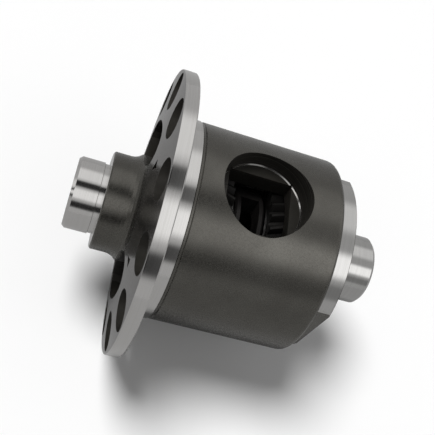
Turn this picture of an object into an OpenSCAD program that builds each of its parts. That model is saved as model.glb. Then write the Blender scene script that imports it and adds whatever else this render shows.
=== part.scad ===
// Limited slip differential assembly: flanged case with one round access window,
// bolted end cap, two side gears and three pairs of meshing parallel-axis pinions.
// X is the rotation axis and runs from the flange side journal to the end cap
// journal. X = 0 is the ring gear seat. Z runs out through the middle of the window.

/* [Flange] */
// Radius of the ring gear flange.
flange_r = 90.75; // [80:0.25:105]
// Thickness of the flange at its rim.
flange_rim_t = 8.3; // [6:0.1:14]
// Slope of the conical front face, degrees from square.
flange_cone_angle = 6.6; // [0:0.1:12]
// Number of ring gear bolt holes.
bolt_count = 12; // [8:1:14]
// Radius of the bolt circle.
bolt_circle_r = 76.9; // [70:0.1:85]
// Radius of one bolt hole.
bolt_hole_r = 11.9; // [5:0.1:12.5]
// Directions of the curved oil ports through the web, degrees from the window.
port_angles = [-48, 104, 208]; // [-180:0.5:360]
// Sweep of each port between the centres of its two round ends, degrees.
port_sweep = 42; // [10:1:50]
// Half width of one oil port, which is the radius of its ends.
port_r = 11.8; // [6:0.1:12]
// Distance of the ports' middle line from the axis.
port_pitch_r = 45.7; // [44:0.1:48]
// Directions of the small three-sided drain holes, degrees from the window.
drain_angles = [0.5, 60.5, 156, 261]; // [-180:0.5:360]

/* [Hub and journals] */
// Radius of both bearing journals.
journal_r = 22.62; // [19:0.01:30]
// Radius of the hub between flange and left journal.
hub_r = 31; // [27:0.1:36]
// Length from the seat back to the hub's end.
hub_end = 33.8; // [24:0.1:45]
// Length from the seat back to the left journal's end.
left_end = 53; // [40:0.1:70]
// Length from the seat to the right journal's end.
right_end = 144.2; // [130:0.1:160]
// Radius of the axle passage in both journals.
axle_bore_r = 18.2; // [15:0.1:20]

/* [Barrel] */
// Radius of the barrel.
barrel_r = 63.8; // [58:0.1:72]
// Radius of the machined register behind the flange.
register_r = 64; // [58:0.01:73]
// Width of the machined register.
register_w = 11.7; // [6:0.1:18]
// Distance from the seat to the barrel's open end.
barrel_end = 101; // [90:0.5:115]
// Radius of the access window.
window_r = 27.4; // [20:0.1:30]
// Distance from the seat to the window's centre.
window_x = 53.1; // [48:0.1:58]
// Height above the axis of the flat floor that the window is cut down to.
window_floor = 44.7; // [42:0.1:52]
// Half length of the slot from the window's floor into the gear space, along the axis.
slot_half_l = 20; // [12:0.5:24]
// Half width of that slot.
slot_half_w = 19.5; // [12:0.5:20]

/* [End cap] */
// Radius of the cap's rim.
cap_r = 58.15; // [54:0.05:63]
// Thickness of the cap's rim.
cap_t = 10.3; // [8:0.1:14]
// Depth of the cap's spigot inside the barrel.
spigot_t = 10; // [5:0.5:12]
// Distance of the rim's two flats from the axis.
cap_flat_dist = 52.4; // [52:0.1:58]
// Directions of the rim's flats, degrees from the window.
cap_flat_angles = [86, -60]; // [-180:0.5:360]
// Number of cap screws in each of the three groups.
screws_per_group = 2; // [1:1:2]
// Distance of the cap screws from the axis.
screw_pitch_r = 45; // [44.5:0.5:46]

/* [Gears] */
// Teeth on each side gear, a multiple of three.
side_teeth = 27; // [24:3:30]
// Teeth on each pinion.
pinion_teeth = 7; // [6:1:9]
// Transverse module.
gear_module = 2.6; // [2.2:0.05:2.7]
// Transverse pressure angle.
pressure_angle = 30; // [25:0.5:32]
// Helix angle at the pitch circle.
helix_angle = 20; // [0:1:25]
// Flank thinning that gives the backlash.
flank_thin = 0.14; // [0.1:0.01:0.3]
// Tooth height above the pitch circle.
addendum = 1.9; // [1.6:0.05:2.1]
// Tooth depth below the pitch circle.
dedendum = 2.5; // [2.3:0.05:2.8]
// Face width of a side gear.
side_face = 24; // [20:4:24]
// Outer radius of the splines in a side gear bore.
spline_r = 16.9; // [15:0.1:18]

/* [Hidden] */
$fn = 96;

c_dark = [0.20, 0.18, 0.17];
c_bright = [0.72, 0.71, 0.69];
c_gear = [0.30, 0.29, 0.28];
c_bronze = [0.55, 0.40, 0.22];

cone_k = tan(flange_cone_angle);
seat_face = barrel_end - spigot_t;          // plane the cap's spigot rests on
spigot_r = 56.9;
pocket_clear = 0.35;
pitch_side = side_teeth * gear_module / 2;
pitch_pinion = pinion_teeth * gear_module / 2;
pinion_pitch_r = pitch_side + pitch_pinion; // pinion centres from the axis
pair_half = asin(pitch_pinion / pinion_pitch_r);
pocket_r = pitch_pinion + addendum + pocket_clear;
side_bore_r = pitch_side + addendum + 0.5;
mid = window_x;
left_gear_x0 = mid - 36.1;                  // left face of the left side gear
right_gear_x0 = mid + 12.1;
pinion_len = 47.4;
left_pinion_x0 = mid - 36;
right_pinion_x0 = mid - 11.4;
pocket_floor_left = mid - 37.5;
pocket_floor_right = mid - 12.9;
hub_bore_r = 25.6;
side_hub_r = 25.3;
hub_bore_x0 = -10;
pairs = [60, 180, 300];
screw_sectors = [0, 120, 240];
screw_offset = 13;
stub_r = 6.3;                               // plain end of each pinion
stub_hole_r = 6.7;
left_stub_x = seat_face + 3.4;
right_stub_x = mid - 40;
left_hub_x = -5;
right_hub_x = seat_face + 12.6;
block_half = 9.5;
block_bolt_angle = 240;
gear_slices = 6;
pinion_slices = 12;

// Moves a body to radius r at angle a, measured from the window towards -Y.
module at(r, a) { rotate([a, 0, 0]) translate([0, 0, r]) children(); }
// Cylinder along X from x0 to x1.
module rod(r, x0, x1) { translate([x0, 0, 0]) rotate([0, 90, 0]) cylinder(h = x1 - x0, r = r); }
// Solid of revolution about X from a list of [x, radius].
module turned(p) { rotate([0, 90, 0]) rotate_extrude() polygon([for (q = p) [q[1], q[0]]]); }

function cone_x(r) = -flange_rim_t - cone_k * (flange_r - r);

// ---- case ------------------------------------------------------------
module case_blank() {
  f = 9;                                    // fillet radius between hub and web
  xc = cone_x(hub_r + f) - f;
  turned(concat(
    [[-left_end, 0], [-left_end, journal_r - 1.6], [-left_end + 1.9, journal_r],
     [-hub_end - 3.4, journal_r], [-hub_end - 3.1, journal_r - 0.7],
     [-hub_end, journal_r - 0.7], [-hub_end, hub_r - 1], [-hub_end + 1, hub_r]],
    [for (i = [0:6]) let (a = 15 * i) [xc + f * sin(a), hub_r + f - f * cos(a)]],
    [[cone_x(flange_r - 1.2), flange_r - 1.2], [-flange_rim_t, flange_r - 0.1],
     [-flange_rim_t + 0.5, flange_r], [-0.6, flange_r], [0, flange_r - 0.6],
     [0, register_r + 0.8], [-0.5, register_r + 0.4], [-0.5, register_r - 0.6],
     [1.8, register_r - 0.6], [2.1, register_r],
     [register_w - 0.6, register_r], [register_w, register_r - 0.6],
     [register_w + 1.2, register_r - 0.8], [register_w + 1.8, barrel_r],
     [barrel_end - 3.4, barrel_r]],
    [for (i = [1:4]) let (a = 90 * i / 4)
      [barrel_end - 3.4 + 3.4 * sin(a), barrel_r - 3.4 + 3.4 * cos(a)]],
    [[barrel_end, 0]]));
}
// Round window down to its flat floor, with a bevel at its foot, and the slot below it.
module window_cut() {
  translate([mid, 0, 0]) rotate_extrude() polygon([[0, window_floor], [window_r - 0.7, window_floor],
    [window_r, window_floor + 0.8], [window_r, barrel_r + 10], [0, barrel_r + 10]]);
  translate([mid - slot_half_l, -slot_half_w, 1])
    cube([2 * slot_half_l, 2 * slot_half_w, window_floor + 1]);
}
// Outline of a curved slot with round ends, its middle at angle a.
function curved_outline(a) = let (s = port_sweep / 2, w = port_r, c = port_pitch_r,
    out = function (f, r) -r * [cos(f), sin(f)],
    turn = function (f, t) out(f, c + w * cos(t)) + w * sin(t) * [sin(f), -cos(f)])
  concat([for (k = [-5:5]) out(a + s * k / 6, c + w)], [for (k = [0:8]) turn(a + s, 22.5 * k)],
    [for (k = [5:-1:-5]) out(a + s * k / 6, c - w)], [for (k = [8:16]) turn(a - s, 22.5 * k)]);
module curved_port(a, x0, x1) {
  rotate([0, 90, 0]) translate([0, 0, x0]) linear_extrude(x1 - x0) polygon(curved_outline(a));
}
module screw_places() {
  for (s = screw_sectors, k = [0:screws_per_group - 1])
    at(screw_pitch_r, s + (2 * k - 1) * screw_offset) children();
}
module dowel_places() { for (s = [120, 240]) at(screw_pitch_r + 2.5, s) children(); }
module case() {
  color(c_dark) difference() {
    case_blank();
    rod(axle_bore_r, -left_end - 1, hub_bore_x0 + 1);
    rod(hub_bore_r, hub_bore_x0, seat_face);
    rod(side_bore_r, left_gear_x0 - 1.6, barrel_end + 1);
    rod(spigot_r + 0.1, seat_face, barrel_end + 1);
    for (p = pairs) {
      at(pinion_pitch_r, p - pair_half) rod(pocket_r, pocket_floor_left, seat_face + 1);
      at(pinion_pitch_r, p + pair_half) {
        rod(pocket_r, pocket_floor_right, seat_face + 1);
        rod(stub_hole_r, right_stub_x - 1, pocket_floor_right + 1);
      }
    }
    window_cut();
    for (k = [0:bolt_count - 1])
      at(bolt_circle_r, 360 / bolt_count * (k + 0.5)) rod(bolt_hole_r, -30, 1);
    for (a = port_angles) curved_port(a, -30, pocket_floor_left + 1);
    for (a = drain_angles) rotate([a, 0, 0]) rotate([0, 90, 0])
      translate([0, 0, -30]) linear_extrude(33) polygon([[-50, 0], [-57.8, -3], [-57.8, 3]]);
    screw_places() rod(4, seat_face - 8, seat_face + 1);
    dowel_places() rod(3, seat_face - 7, seat_face + 1);
    rotate([block_bolt_angle, 0, 0]) {
      translate([mid, 0, 30]) cylinder(h = 40, r = 5);
      translate([mid, 0, barrel_r - 7.5]) cylinder(h = 12, r = 9);
    }
  }
}
// ---- end cap ---------------------------------------------------------
module end_cap() {
  x1 = barrel_end + cap_t;
  color(c_dark) difference() {
    turned([[seat_face, 0], [seat_face, spigot_r - 1], [seat_face + 1, spigot_r],
      [barrel_end, spigot_r], [barrel_end, cap_r], [x1 - 0.8, cap_r],
      [x1 - 0.8, cap_r - 0.8], [x1, cap_r - 0.8],
      [x1, journal_r + 7], [x1 + 1.6, journal_r + 5.4], [x1 + 1.6, journal_r - 0.7],
      [x1 + 4.6, journal_r - 0.7], [x1 + 4.9, journal_r],
      [right_end - 1.9, journal_r], [right_end, journal_r - 1.6], [right_end, 0]]);
    rod(axle_bore_r, seat_face - 1, right_end + 1);
    rod(hub_bore_r, seat_face - 1, right_hub_x + 1.2);
    for (p = pairs) at(pinion_pitch_r, p - pair_half) rod(stub_hole_r, seat_face - 1, left_stub_x + 1);
    screw_places() { rod(4.5, seat_face - 1, x1 + 1); rod(6.7, x1 - 8.5, x1 + 1); }
    dowel_places() rod(3, seat_face - 1, seat_face + 7);
    for (a = cap_flat_angles) rotate([a, 0, 0])
      translate([barrel_end - 0.5, -80, cap_flat_dist]) cube([40, 160, 40]);
  }
}
module cap_screws() {
  x1 = barrel_end + cap_t - 8.5;
  color(c_gear) screw_places() difference() {
    union() { rod(3.9, seat_face - 7.5, x1 + 1); rod(6.4, x1, x1 + 8); }
    translate([x1 + 4, 0, 0]) rotate([0, 90, 0]) cylinder(h = 5, r = 3.46, $fn = 6);
  }
}
module cap_dowels() { color(c_bright) dowel_places() rod(2.95, seat_face - 6.5, seat_face + 6.5); }

// ---- gears -----------------------------------------------------------
function inv(a) = tan(a) * 180 / PI - a;
function tooth_half(n, r) = let (rp = n * gear_module / 2, rb = rp * cos(pressure_angle),
    root = rp - dedendum,
    base = 90 / n - flank_thin / rp * 180 / PI + inv(pressure_angle))
  r >= rb ? base - inv(acos(rb / r)) : base - 7 * (rb - r) / (rb - root);
function flank(n, steps) = let (rp = n * gear_module / 2, rb = rp * cos(pressure_angle),
    root = rp - dedendum, lo = max(rb, root), hi = rp + addendum)
  concat(root < rb ? [root] : [], [for (i = [0:steps - 1]) lo + (hi - lo) * i / (steps - 1)]);
// Gear outline, one point list round the whole gear, first tooth centred on angle 0.
function outline(n, steps) = let (f = flank(n, steps), c = len(f)) [for (k = [0:n - 1])
  each concat(
    [for (i = [0:c - 1]) let (a = 360 * k / n - tooth_half(n, f[i])) f[i] * [cos(a), sin(a)]],
    [for (i = [c - 1:-1:0]) let (a = 360 * k / n + tooth_half(n, f[i])) f[i] * [cos(a), sin(a)]])];
// Points of an outline turned by a and placed at x. Angles run from +Z towards -Y.
function placed(pts, x, a) = [for (p = pts)
  [x, -(p[0] * sin(a) + p[1] * cos(a)), p[0] * cos(a) - p[1] * sin(a)]];
// Rings of a twisted outline between x0 and x1.
function twisted(out, x0, x1, slices, phase, k) = [for (s = [0:slices])
  let (x = x0 + (x1 - x0) * s / slices) placed(out, x, phase + k * (x - mid))];
// A ring at radius r with its points in the directions of an existing ring.
function round_ring(ring, r, x) =
  [for (p = ring) let (d = norm([p[1], p[2]])) [x, p[1] * r / d, p[2] * r / d]];
// Solid through a list of rings with equal point counts: closed back to the first
// ring when loop is true, otherwise closed by a face at each end.
module loft(rings, loop, flip) {
  n = len(rings[0]);
  m = len(rings);
  f = [for (s = [0:loop ? m - 1 : m - 2], i = [0:n - 1])
    let (j = (i + 1) % n, t = (s + 1) % m)
    each [[s * n + i, t * n + i, t * n + j], [s * n + i, t * n + j, s * n + j]]];
  ends = loop ? [] : [[for (i = [0:n - 1]) i], [for (i = [n - 1:-1:0]) (m - 1) * n + i]];
  all = concat(f, ends);
  polyhedron(points = [for (r = rings) each r],
    faces = flip ? [for (q = all) [for (i = [len(q) - 1:-1:0]) q[i]]] : all);
}
// Twist in degrees per millimetre of a gear with n teeth; the sign is its hand.
function lead(n, hand) = hand * tan(helix_angle) / (n * gear_module / 2) * 180 / PI;
// Phase that meshes a gear of n teeth at direction phi from one of m teeth at phase am.
function meshed(n, m, phi, am) = phi + 180 - 180 / n + (phi - am) * m / n;
// Phase of each gear in the plane x = mid.
function left_phase(p) = meshed(pinion_teeth, side_teeth, p - pair_half, 0);
function right_phase(p) = meshed(pinion_teeth, pinion_teeth, p + 90, left_phase(p));
function near_zero(a, period) = a - period * round(a / period);
right_gear_phase = near_zero(meshed(side_teeth, pinion_teeth, pairs[0] + pair_half + 180,
  right_phase(pairs[0])), 360 / side_teeth);

function spline_ring() = let (n = 8 * side_teeth) [for (i = [0:n - 1]) let (a = 360 * (i - 3.5) / n,
    t = i % 8, r = (t >= 2 && t <= 5) ? spline_r - 1.1 : spline_r) r * [cos(a), sin(a)]];
// Side gear with its teeth between x0 and x1 and its hub from x1 to xh.
module side_gear(x0, x1, xh, hand, phase) {
  teeth = twisted(outline(side_teeth, 4), x0, x1, gear_slices, phase, lead(side_teeth, hand));
  spline = spline_ring();
  loft(concat(teeth, [round_ring(teeth[gear_slices], side_hub_r, x1),
    round_ring(placed(spline, xh, 0), side_hub_r, xh),
    placed(spline, xh, 0), placed(spline, x0, 0)]), true, x1 < x0);
}
module left_side_gear() {
  color(c_gear) side_gear(left_gear_x0 + side_face, left_gear_x0, left_hub_x, 1, 0);
}
module right_side_gear() {
  color(c_gear) side_gear(right_gear_x0, right_gear_x0 + side_face, right_hub_x, -1, right_gear_phase);
}
// Pinion at direction angle with its teeth between x0 and x1 and its stub from x1 to xs.
module pinion(angle, x0, x1, xs, hand, phase) {
  teeth = twisted(outline(pinion_teeth, 3), x0, x1, pinion_slices, phase, lead(pinion_teeth, hand));
  last = teeth[pinion_slices];
  c = pinion_pitch_r;
  translate([0, -c * sin(angle), c * cos(angle)])
    loft(concat([round_ring(teeth[0], stub_r, x0 + (x0 < x1 ? -0.6 : 0.6))], teeth,
      [round_ring(last, stub_r, x1), round_ring(last, stub_r, xs)]), false, x1 < x0);
}
module left_pinion(i) {
  p = pairs[i];
  color(c_gear) pinion(p - pair_half, left_pinion_x0, left_pinion_x0 + pinion_len,
    left_stub_x, -1, left_phase(p));
}
module right_pinion(i) {
  p = pairs[i];
  color(c_gear) pinion(p + pair_half, right_pinion_x0 + pinion_len, right_pinion_x0,
    right_stub_x, 1, right_phase(p));
}
module left_pinion_1() { left_pinion(0); }
module left_pinion_2() { left_pinion(1); }
module left_pinion_3() { left_pinion(2); }
module right_pinion_1() { right_pinion(0); }
module right_pinion_2() { right_pinion(1); }
module right_pinion_3() { right_pinion(2); }

// ---- washers, springs, block -----------------------------------------
module washer(r0, r1, x0, x1) { difference() { rod(r1, x0, x1); rod(r0, x0 - 1, x1 + 1); } }
module left_thrust_washer() { color(c_bronze) washer(26, 32.4, left_gear_x0 - 1.5, left_gear_x0 - 0.15); }
module right_thrust_washer() {
  x = right_gear_x0 + side_face;
  color(c_bronze) washer(26, 32.4, x + 0.15, seat_face - 0.1);
}
// Coned spring between the block and a side gear.
module cone_spring(x, dir) {
  color(c_bright)
    turned([for (q = [[0.15, 20], [1.05, 29.5], [2.35, 29.5], [1.45, 20]]) [x + dir * q[0], q[1]]]);
}
module left_preload_spring() { cone_spring(mid - block_half, -1); }
module right_preload_spring() { cone_spring(mid + block_half, 1); }
module thrust_block() {
  color(c_dark) difference() {
    turned([[mid - block_half, 17.4], [mid - block_half, 29.5], [mid - block_half + 1.2, 30.7],
      [mid + block_half - 1.2, 30.7], [mid + block_half, 29.5], [mid + block_half, 17.4]]);
    translate([mid - 6, -13, 0]) cube([12, 26, 40]);
    rotate([block_bolt_angle, 0, 0]) translate([mid, 0, 10]) cylinder(h = 30, r = 5.1);
  }
}
module thrust_block_bolt() {
  color(c_gear) rotate([block_bolt_angle, 0, 0]) translate([mid, 0, 0]) difference() {
    union() {
      translate([0, 0, 22]) cylinder(h = 35, r = 4.8);
      translate([0, 0, barrel_r - 7.4]) cylinder(h = 5.6, r = 8.5);
    }
    translate([0, 0, barrel_r - 5.2]) cylinder(h = 6, r = 4.6, $fn = 6);
  }
}
// End shims of the pinions, one disc per pinion.
module shims(side, x0, x1) {
  color(c_bronze) for (p = pairs) at(pinion_pitch_r, p + side * pair_half) washer(7, 10.9, x0, x1);
}
module left_pinion_shims() { shims(-1, pocket_floor_left + 0.15, left_pinion_x0 - 0.75); }
module right_pinion_shims() { shims(1, right_pinion_x0 + pinion_len + 0.75, seat_face - 0.15); }

case();
end_cap();
cap_screws();
cap_dowels();
left_side_gear();
right_side_gear();
left_pinion_1();
left_pinion_2();
left_pinion_3();
right_pinion_1();
right_pinion_2();
right_pinion_3();
left_thrust_washer();
right_thrust_washer();
left_preload_spring();
right_preload_spring();
thrust_block();
thrust_block_bolt();
left_pinion_shims();
right_pinion_shims();
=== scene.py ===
import math

import bpy
from mathutils import Euler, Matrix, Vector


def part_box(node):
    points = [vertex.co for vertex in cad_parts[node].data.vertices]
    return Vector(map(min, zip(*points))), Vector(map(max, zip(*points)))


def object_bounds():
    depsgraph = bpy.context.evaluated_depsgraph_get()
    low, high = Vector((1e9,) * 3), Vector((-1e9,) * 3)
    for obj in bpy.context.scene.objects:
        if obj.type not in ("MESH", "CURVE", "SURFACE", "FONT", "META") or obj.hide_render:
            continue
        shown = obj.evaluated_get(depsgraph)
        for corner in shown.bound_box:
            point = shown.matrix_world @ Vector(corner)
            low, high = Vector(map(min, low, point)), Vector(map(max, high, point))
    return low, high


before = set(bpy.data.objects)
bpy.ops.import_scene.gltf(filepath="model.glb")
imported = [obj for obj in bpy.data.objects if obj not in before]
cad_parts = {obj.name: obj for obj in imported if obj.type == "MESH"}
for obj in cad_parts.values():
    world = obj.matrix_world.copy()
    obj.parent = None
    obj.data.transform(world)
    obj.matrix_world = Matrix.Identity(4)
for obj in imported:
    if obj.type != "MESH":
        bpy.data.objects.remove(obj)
cad_lo, cad_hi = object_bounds()
case_lo, case_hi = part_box("case")

# ---------------------------------------------------------------- places on the part
# Lengths are in metres. X is the rotation axis, with the ring gear seat at 0, and r is the
# distance from it. Z runs out through the middle of the access window.
FLANGE_R = -case_lo[2]
BARREL_END = case_hi[0]
BORE_LIP = 0.0192  # the ends of the journals are bright outside this radius
HUB_FACE_X = -0.0337  # just behind the hub's end face, where the left journal starts
FILLET_R = 0.040  # outer end of the fillet between the hub and the flange's front
RIM_THICKNESS = 0.0083
FRONT_SLOPE = math.tan(math.radians(6.6))  # the flange's front is a shallow cone
FRONT_AT_AXIS = -RIM_THICKNESS - FRONT_SLOPE * FLANGE_R  # where the front cone would meet the axis
FRONT_RANGE = (-0.016, -0.0006)  # the front cone lies between these along X
RIM_R = FLANGE_R - 0.00045  # just inside the flange's edge
SEAT_R = 0.0648  # inner edge of the ring gear seat
REGISTER_R = 0.0636  # just under the register band
SEAT_RANGE = (-0.0002, 0.0117)  # the seat and the register lie between these along X
REGISTER_RANGE = (0.0019, 0.0117)  # the register alone
BOLT_CIRCLE_R = 0.0769
BOLT_COUNT = 12
BOLT_FIRST = 15.0  # direction of the first hole, degrees from the window
BOLT_EDGE_R = 0.01196  # just outside the wall of a hole
BOLT_END = -0.0004  # the holes' walls lie before this along X
PORT_RANGE = (0.0318, 0.0582)  # the oil ports and drain holes lie between these radii
PORT_END = 0.0182  # the ports open into the gear space before this along X
PORT_EDGE = 0.00055  # the ports' walls are dark from this far behind the front cone
SHELL_R = 0.0626  # just under the barrel's surface
SHELL_RANGE = (0.0, BARREL_END - 0.0004)  # the inside of the barrel along X
WINDOW_X = 0.0531  # the window's middle
WINDOW_WALL_R = 0.0275  # just outside the window's wall
WINDOW_BEVEL_R = 0.0268  # inner edge of the bevel at the window's foot
BEVEL_RANGE = (0.0446, 0.0455)  # that bevel lies between these along Z
WINDOW_FOOT = 0.0405  # below the window's flat floor
CAP_RIM_RANGE = (BARREL_END - 0.0002, 0.1111)  # the end cap's bright rim along X
CAP_RIM_R = 0.0572  # just under the end cap's rim
CAP_FLATS = (86.0, -60.0)  # directions of the rim's flats, degrees from the window
CAP_FLAT_DIST = 0.0524  # from the axis
CAP_FACE_X = 0.1101  # the end cap's outer face lies beyond this
CAP_FACE_RANGE = (0.02265, 0.05715)  # and between these radii
CAP_JOURNAL_X = 0.1139  # the right journal lies beyond this
CAP_HIDDEN_X = 0.10045  # the end cap is inside the barrel before this
CAP_BORE_R = 0.01875  # just outside the axle bore's wall

# Half widths of the soft edges of masks.
FINE = 0.00005
SOFT = 0.00012
WIDE = 0.0002
BLEND = 0.0015  # from the fillet to the flange's front
WINDOW_BLEND = 0.0005

# ---------------------------------------------------------------- colours
# Pairs are two tones of one surface, which noise moves between.
CAST = ((0.096, 0.092, 0.083), (0.118, 0.114, 0.103))
CAST_SPECK = (0.118, 0.114, 0.104)
FRONT = ((0.088, 0.083, 0.078), (0.108, 0.102, 0.097))
FRONT_SPECK = (0.078, 0.073, 0.069)
# Painted shade: nearly black tones for the hole walls, ports and hollows of the case and end cap,
# where shade falls.
PAINTED_SHADE = ((0.018, 0.017, 0.014), (0.034, 0.031, 0.027))
WINDOW_RINGS = (0.085, 0.08, 0.072)
CASE_STEEL = ((0.555, 0.545, 0.53), (0.6, 0.59, 0.578))
CAP_STEEL = ((0.445, 0.44, 0.43), (0.485, 0.48, 0.47))
WHITE = (1.0, 1.0, 1.0)
FLOOR_PALE = ((0.90, 0.90, 0.90), (0.93, 0.93, 0.93))
# Painted shade in reflections: the floor's grey as the turned surfaces see it.
FLOOR_SHADE_IN_REFLECTIONS = (0.42, 0.42, 0.42)

# ---------------------------------------------------------------- camera and light
CAMERA_PLACE = (-0.0517, -0.20008, 0.36364)
CAMERA_TURN = (27.0107, -18.3857, 7.8618)  # degrees
CAMERA_LENS = 54.74
CAMERA_SENSOR = 36.0

KEY_TURN = (-11.0, -20.0, 0.0)  # degrees
KEY_WIDTH = 24.0  # degrees
KEY_ENERGY = 2.88

FLOOR_Z = cad_lo[2] - 0.00045
FLOOR_HALF = 3.0

# Soft boxes and flags: start, end and softness, in degrees round X from +Z towards -Y.
NEAR_BOX = (-55.0, -15.0, 8.0)
FAR_BOX = (15.0, 45.0, 6.0)
TOP_FLAG = (-10.0, 8.0, 3.0)
SIDE_FLAG = (55.0, 75.0, 4.0)
CAP_SIDE = (0.08, 0.36)  # the light changes towards the cap's side between these X of a direction
SURROUND = 0.52
NEAR_LEVEL = 0.45
FAR_LEVEL = (0.6, 1.2)  # away from the cap's side, and on it
TOP_FLAG_DEPTH = (0.95, 0.0)
SIDE_FLAG_DEPTH = (0.95, 0.45)
FILL = 0.3  # share of the surround that lights the scene, so the key draws the shadows


def rgb(colour):
    return (*colour, 1.0)


def darker(colour, share):
    return tuple(c * share for c in colour)


def turned_by(degrees):
    return Euler([math.radians(a) for a in degrees], "XYZ")


# ---------------------------------------------------------------- node helpers
class Graph:
    """Short names for building a node tree."""

    def __init__(self, tree):
        self.tree = tree

    def node(self, kind, **props):
        n = self.tree.nodes.new(kind)
        for key, value in props.items():
            setattr(n, key, value)
        return n

    def put(self, socket, value):
        if isinstance(value, bpy.types.NodeSocket):
            self.tree.links.new(value, socket)
        else:
            socket.default_value = value

    def filled(self, n, out=0, **inputs):
        """One output of node n, once its inputs are set by name, with _ for a space."""
        for key, value in inputs.items():
            self.put(n.inputs[key.replace("_", " ")], value)
        return n.outputs[out]

    def math(self, op, *values):
        n = self.node("ShaderNodeMath", operation=op)
        for i, value in enumerate(values):
            self.put(n.inputs[i], value)
        return n.outputs[0]

    def times(self, a, b):
        return self.math("MULTIPLY", a, b)

    def plus(self, a, b):
        return self.math("ADD", a, b)

    def minus(self, a, b):
        return self.math("SUBTRACT", a, b)

    def length(self, a, b):
        """Length of a vector with parts a and b."""
        return self.math("SQRT", self.plus(self.times(a, a), self.times(b, b)))

    def step(self, v, lo, hi, a=0.0, b=1.0):
        """v mapped smoothly from lo..hi to a..b."""
        n = self.node("ShaderNodeMapRange", interpolation_type="SMOOTHSTEP", clamp=True)
        return self.filled(n, Value=v, From_Min=lo, From_Max=hi, To_Min=a, To_Max=b)

    def above(self, v, edge, soft=SOFT):
        return self.step(v, edge - soft, edge + soft)

    def below(self, v, edge, soft=SOFT):
        return self.step(v, edge - soft, edge + soft, 1.0, 0.0)

    def band(self, v, lo, hi, soft=SOFT):
        return self.times(self.above(v, lo, soft), self.below(v, hi, soft))

    def both(self, first, *masks):
        """1 where every mask is 1."""
        for mask in masks:
            first = self.times(first, mask)
        return first

    def either(self, first, *masks):
        """1 where any mask is 1."""
        for mask in masks:
            first = self.math("MAXIMUM", first, mask)
        return first

    def mix(self, f, a, b):
        n = self.node("ShaderNodeMix", data_type="RGBA")
        return self.filled(n, "Result", Factor=f, A=a, B=b)

    def fmix(self, f, a, b):
        n = self.node("ShaderNodeMix", data_type="FLOAT")
        return self.filled(n, "Result", Factor=f, A=a, B=b)

    def tones(self, f, pair):
        return self.mix(f, rgb(pair[0]), rgb(pair[1]))

    def vec(self, x, y, z):
        return self.filled(self.node("ShaderNodeCombineXYZ"), X=x, Y=y, Z=z)

    def noise(self, vector, scale, detail, rough):
        n = self.node("ShaderNodeTexNoise")
        return self.filled(n, Vector=vector, Scale=scale, Detail=detail, Roughness=rough)

    def bump(self, height, strength, distance):
        n = self.node("ShaderNodeBump")
        return self.filled(n, Height=height, Strength=strength, Distance=distance)

    def ray_is(self, kind):
        return self.node("ShaderNodeLightPath").outputs[f"Is {kind} Ray"]


def new_material(name):
    """A material with its graph, shader, place vector, and that place as x, y, z and r."""
    material = bpy.data.materials.new(name)
    material.use_nodes = True
    material.node_tree.nodes.clear()
    g = Graph(material.node_tree)
    shader = g.node("ShaderNodeBsdfPrincipled")
    g.put(g.node("ShaderNodeOutputMaterial").inputs["Surface"], shader.outputs[0])
    place = g.node("ShaderNodeTexCoord").outputs["Object"]
    parts = g.node("ShaderNodeSeparateXYZ")
    g.put(parts.inputs[0], place)
    x, y, z = parts.outputs
    return material, g, shader, place, (x, y, z, g.length(y, z))


def lathe_marks(g, x, r, pitch):
    """Fine marks that run round the X axis, on cylinders and on faces."""
    return g.noise(g.vec(g.times(x, 1.0 / pitch), g.times(r, 1.0 / pitch), 0.0), 1.0, 4.0, 0.7)


# ---------------------------------------------------------------- masks of place on the case
def hole_distance(g, y, z, r):
    """Distance from the axis of the nearest ring gear bolt hole."""
    half_turn = math.pi / BOLT_COUNT
    a = g.math("ARCTAN2", g.times(y, -1.0), z)
    a = g.math("WRAP", g.minus(a, math.radians(BOLT_FIRST)), half_turn, -half_turn)
    along = g.minus(g.times(r, g.math("COSINE", a)), BOLT_CIRCLE_R)
    return g.length(along, g.times(r, g.math("SINE", a)))


def window_radius(g, x, y):
    """Distance from the window's own axis."""
    return g.length(g.minus(x, WINDOW_X), y)


def window_wall(g, x, y, z, r):
    """The bored wall of the access window."""
    inside = g.below(window_radius(g, x, y), WINDOW_WALL_R, FINE)
    return g.both(inside, g.above(z, WINDOW_FOOT, WINDOW_BLEND))


def case_bright(g, x, y, z, r):
    """The machined surfaces: left journal, rim, seat, register and the window's bevel."""
    journal = g.both(g.below(x, HUB_FACE_X), g.above(r, BORE_LIP, WIDE))
    rim = g.above(r, RIM_R)
    seat = g.both(g.band(x, *SEAT_RANGE), g.above(r, SEAT_R, FINE))
    register = g.both(g.band(x, *REGISTER_RANGE), g.above(r, REGISTER_R))
    bevel = g.both(g.band(window_radius(g, x, y), WINDOW_BEVEL_R, WINDOW_WALL_R, FINE),
                   g.band(z, *BEVEL_RANGE, FINE))
    return g.either(journal, rim, seat, register, bevel)


def case_front(g, x, y, z, r):
    """The smoother conical front of the flange."""
    return g.both(g.band(x, *FRONT_RANGE), g.above(r, FILLET_R, BLEND))


def case_painted_shade(g, x, y, z, r):
    """Painted shade: the bolt hole walls, the oil ports and everything inside the case, coloured
    nearly black.
    """
    holes = g.both(g.below(hole_distance(g, y, z, r), BOLT_EDGE_R, FINE), g.below(x, BOLT_END))
    behind_front = g.minus(x, g.math("MULTIPLY_ADD", r, FRONT_SLOPE, FRONT_AT_AXIS))
    ports = g.both(g.band(r, *PORT_RANGE, WIDE), g.above(behind_front, PORT_EDGE),
                   g.below(x, PORT_END, WIDE))
    shell = g.both(g.below(r, SHELL_R, WIDE), g.band(x, *SHELL_RANGE, WIDE))
    return g.either(holes, ports, shell, window_wall(g, x, y, z, r))


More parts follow.
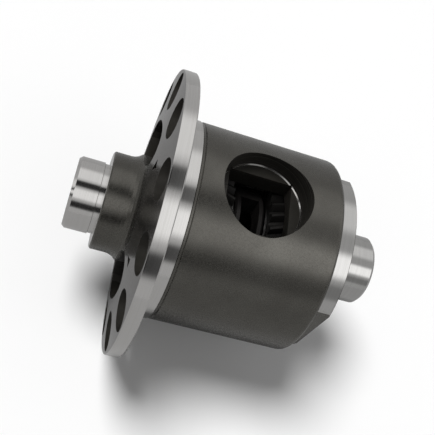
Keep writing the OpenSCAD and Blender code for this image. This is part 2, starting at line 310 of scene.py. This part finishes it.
# ---------------------------------------------------------------- masks of place on the end cap
def off_flats(g, y, z):
    """0 on the flats of the end cap's rim, 1 elsewhere."""
    masks = []
    for angle in CAP_FLATS:
        a = math.radians(angle)
        out = g.plus(g.times(y, -math.sin(a)), g.times(z, math.cos(a)))
        flat = g.band(out, CAP_FLAT_DIST - WIDE, CAP_FLAT_DIST + WIDE, FINE)
        masks.append(g.minus(1.0, flat))
    return g.both(*masks)


def cap_bright(g, x, y, z, r):
    """The machined rim without its flats, and the right journal."""
    rim = g.both(g.band(x, *CAP_RIM_RANGE), g.above(r, CAP_RIM_R), off_flats(g, y, z))
    journal = g.both(g.above(x, CAP_JOURNAL_X), g.above(r, BORE_LIP, WIDE))
    return g.either(rim, journal)


def cap_front(g, x, y, z, r):
    """The outer face between the journal and the rim."""
    return g.both(g.above(x, CAP_FACE_X), g.band(r, *CAP_FACE_RANGE))


def cap_painted_shade(g, x, y, z, r):
    """Painted shade: what lies inside the barrel, and the axle bore, coloured nearly black."""
    return g.either(g.below(x, CAP_HIDDEN_X), g.below(r, CAP_BORE_R))


# ---------------------------------------------------------------- materials
def body_material(name, bright_zone, front_zone, painted_shade_zone, steel_pair, ring_zone=None):
    """Dark phosphated casting, with bright turned steel, satin zones and nearly black painted shade
    in its hollows.
    Noise scales are per metre."""
    material, g, shader, place, (x, y, z, r) = new_material(name)
    bright = bright_zone(g, x, y, z, r)
    front = front_zone(g, x, y, z, r)
    painted_shade_mask = painted_shade_zone(g, x, y, z, r)
    cloud = g.noise(place, 28.0, 4.0, 0.6)
    speck = g.noise(place, 900.0, 3.0, 0.6)
    grain = g.noise(place, 2600.0, 2.0, 0.6)
    marks = lathe_marks(g, x, r, 0.00035)
    streak = g.noise(g.vec(g.times(x, 4200.0), g.times(y, 14.0), g.times(z, 14.0)), 1.0, 3.0, 0.6)

    patches = g.step(cloud, 0.35, 0.7)
    cast = g.mix(g.step(speck, 0.62, 0.78, 0.0, 0.12), g.tones(patches, CAST), rgb(CAST_SPECK))
    satin = g.mix(g.step(speck, 0.6, 0.8, 0.0, 0.3), g.tones(patches, FRONT), rgb(FRONT_SPECK))
    stain = rgb(darker(steel_pair[0], 0.85))
    steel = g.mix(g.step(cloud, 0.5, 0.8, 0.0, 0.2),
                  g.tones(g.step(streak, 0.35, 0.65), steel_pair), stain)
    # Painted shade: the hollows take the nearly black tones.
    base = g.mix(painted_shade_mask, g.mix(front, cast, satin), g.tones(patches, PAINTED_SHADE))
    if ring_zone:
        rings = g.noise(g.vec(0.0, 0.0, g.times(z, 1100.0)), 1.0, 2.0, 0.5)
        ringed = g.both(ring_zone(g, x, y, z, r), g.step(rings, 0.5, 0.62))
        base = g.mix(ringed, base, rgb(WINDOW_RINGS))

    cast_rough = g.step(speck, 0.3, 0.75, 0.22, 0.34)
    satin_rough = g.step(cloud, 0.3, 0.75, 0.17, 0.22)
    deep_rough = g.step(speck, 0.3, 0.75, 0.45, 0.6)
    steel_rough = g.step(marks, 0.3, 0.7, 0.1, 0.135)
    dark_rough = g.fmix(painted_shade_mask, g.fmix(front, cast_rough, satin_rough), deep_rough)
    cast_height = g.plus(g.times(grain, 0.2), g.times(speck, 0.2))
    height = g.fmix(bright, cast_height, g.times(marks, 0.07))

    g.put(shader.inputs["Base Color"], g.mix(bright, base, steel))
    g.put(shader.inputs["Metallic"], g.fmix(bright, g.fmix(painted_shade_mask, 0.94, 0.5), 1.0))
    g.put(shader.inputs["Roughness"], g.fmix(bright, dark_rough, steel_rough))
    g.put(shader.inputs["Normal"], g.bump(height, 0.07, 0.0001))
    return material


def metal_material(name, pair, rough, metallic, scale=1.0):
    """Steel or bronze with fine lathe marks, stains and grain, made finer by scale."""
    material, g, shader, place, (x, y, z, r) = new_material(name)
    cloud = g.noise(place, 60.0 * scale, 4.0, 0.6)
    grain = g.noise(place, 1800.0 * scale, 3.0, 0.6)
    marks = lathe_marks(g, x, r, 0.0003 / scale)
    base = g.tones(g.step(cloud, 0.35, 0.7), pair)
    pits = rgb(darker(pair[0], 0.6))
    wear = g.plus(g.times(marks, 0.5), g.times(cloud, 0.5))

    g.put(shader.inputs["Base Color"], g.mix(g.step(grain, 0.6, 0.8, 0.0, 0.3), base, pits))
    shader.inputs["Metallic"].default_value = metallic
    g.put(shader.inputs["Roughness"], g.step(wear, 0.3, 0.7, *rough))
    g.put(shader.inputs["Normal"], g.bump(g.plus(marks, grain), 0.1, 0.00008))
    return material


case_mat = body_material("case_finish", case_bright, case_front, case_painted_shade, CASE_STEEL, window_wall)
cap_mat = body_material("cap_finish", cap_bright, cap_front, cap_painted_shade, CAP_STEEL)
# Painted shade: the gears, pinions and thrust block are dark steel, made nearly black for the shade
# inside the case.
gear_mat = metal_material(
    "gear_finish", ((0.012, 0.0115, 0.011), (0.02, 0.019, 0.018)), (0.42, 0.56), 0.6)
pinion_mat = metal_material(
    "pinion_finish", ((0.013, 0.0122, 0.0115), (0.022, 0.0205, 0.019)), (0.42, 0.56), 0.6)
block_mat = metal_material(
    "block_finish", ((0.012, 0.011, 0.011), (0.022, 0.020, 0.019)), (0.42, 0.58), 0.6)
spring_mat = metal_material(
    "spring_finish", ((0.10, 0.097, 0.094), (0.17, 0.165, 0.16)), (0.3, 0.42), 1.0)
bronze_mat = metal_material(
    "bronze_finish", ((0.22, 0.15, 0.075), (0.32, 0.225, 0.12)), (0.32, 0.45), 1.0)
screw_mat = metal_material(
    "screw_finish", ((0.035, 0.035, 0.036), (0.06, 0.06, 0.062)), (0.35, 0.5), 0.85, 1.4)
bolt_mat = metal_material(
    "bolt_finish", ((0.04, 0.04, 0.04), (0.068, 0.068, 0.07)), (0.33, 0.48), 0.85, 1.2)
dowel_mat = metal_material(
    "dowel_finish", ((0.5, 0.49, 0.47), (0.62, 0.61, 0.6)), (0.18, 0.28), 1.0, 1.5)

# The first entry whose words are in a node's name gives its material.
FINISHES = (
    ("cap_screws", screw_mat), ("cap_dowels", dowel_mat), ("end_cap", cap_mat), ("case", case_mat),
    ("thrust_block_bolt", bolt_mat), ("thrust_block", block_mat), ("side_gear", gear_mat),
    ("spring", spring_mat), ("washer", bronze_mat), ("shims", bronze_mat), ("pinion", pinion_mat))
for name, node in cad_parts.items():
    finish = next(material for words, material in FINISHES if words in name)
    node.data.materials.clear()
    node.data.materials.append(finish)


# ---------------------------------------------------------------- scene
def add_object(name, data):
    ob = bpy.data.objects.new(name, data)
    bpy.context.scene.collection.objects.link(ob)
    return ob


def make_camera():
    data = bpy.data.cameras.new("camera")
    data.lens = CAMERA_LENS
    data.sensor_width = CAMERA_SENSOR
    data.clip_start = 0.01
    data.clip_end = 20.0
    camera = add_object("camera", data)
    camera.location = CAMERA_PLACE
    camera.rotation_euler = turned_by(CAMERA_TURN)
    return camera


def make_floor():
    h = FLOOR_HALF
    corners = [(x, y, FLOOR_Z) for x, y in ((-h, -h), (h, -h), (h, h), (-h, h))]
    mesh = bpy.data.meshes.new("floor")
    mesh.from_pydata(corners, [], [(0, 1, 2, 3)])
    material, g, shader, place, _ = new_material("floor_finish")
    pale = g.tones(g.noise(place, 3.0, 2.0, 0.5), FLOOR_PALE)
    # Painted shade: glossy rays see a greyer floor than the camera does, for the shaded floor round
    # the part that the turned bands reflect.
    g.put(shader.inputs["Base Color"], g.mix(g.ray_is("Glossy"), pale, rgb(FLOOR_SHADE_IN_REFLECTIONS)))
    shader.inputs["Roughness"].default_value = 0.9
    shader.inputs["Specular IOR Level"].default_value = 0.0
    mesh.materials.append(material)
    add_object("floor", mesh)


def studio_level(g):
    """Level of a neutral studio: a grey surround, two soft boxes over the part and two flags
    that give its bright turned bands their dark edges."""
    toward = g.node("ShaderNodeSeparateXYZ")
    g.put(toward.inputs[0], g.node("ShaderNodeTexCoord").outputs["Generated"])
    x, y, z = toward.outputs
    degrees = g.times(g.math("ARCTAN2", g.times(y, -1.0), z), math.degrees(1.0))
    cap_side = g.step(x, *CAP_SIDE)
    near_box = g.times(g.band(degrees, *NEAR_BOX), NEAR_LEVEL)
    far_box = g.times(g.band(degrees, *FAR_BOX), g.fmix(cap_side, *FAR_LEVEL))
    top_flag = g.times(g.band(degrees, *TOP_FLAG), g.fmix(cap_side, *TOP_FLAG_DEPTH))
    side_flag = g.times(g.band(degrees, *SIDE_FLAG), g.fmix(cap_side, *SIDE_FLAG_DEPTH))
    lit = g.plus(SURROUND, g.plus(near_box, far_box))
    flagged = g.times(lit, g.minus(1.0, g.either(top_flag, side_flag)))
    return g.times(flagged, g.fmix(g.ray_is("Diffuse"), 1.0, FILL))


def make_world():
    """The studio for light and reflections, and plain white behind the floor."""
    world = bpy.data.worlds.new("studio")
    bpy.context.scene.world = world
    world.use_nodes = True
    world.node_tree.nodes.clear()
    g = Graph(world.node_tree)
    studio = g.node("ShaderNodeBackground")
    studio.inputs["Color"].default_value = rgb(WHITE)
    g.put(studio.inputs["Strength"], studio_level(g))
    backdrop = g.node("ShaderNodeBackground")
    backdrop.inputs["Color"].default_value = rgb(WHITE)
    seen = g.node("ShaderNodeMixShader")
    for i, value in enumerate((g.ray_is("Camera"), studio.outputs[0], backdrop.outputs[0])):
        g.put(seen.inputs[i], value)
    g.put(g.node("ShaderNodeOutputWorld").inputs["Surface"], seen.outputs[0])


def make_key():
    """A wide soft key, far off, so the floor stays evenly pale in every view."""
    data = bpy.data.lights.new("key", "SUN")
    data.energy = KEY_ENERGY
    data.angle = math.radians(KEY_WIDTH)
    key = add_object("key", data)
    key.rotation_euler = turned_by(KEY_TURN)
    key.visible_glossy = False


bpy.context.scene.camera = make_camera()
bpy.context.scene.view_settings.view_transform = "Standard"
make_floor()
make_world()
make_key()
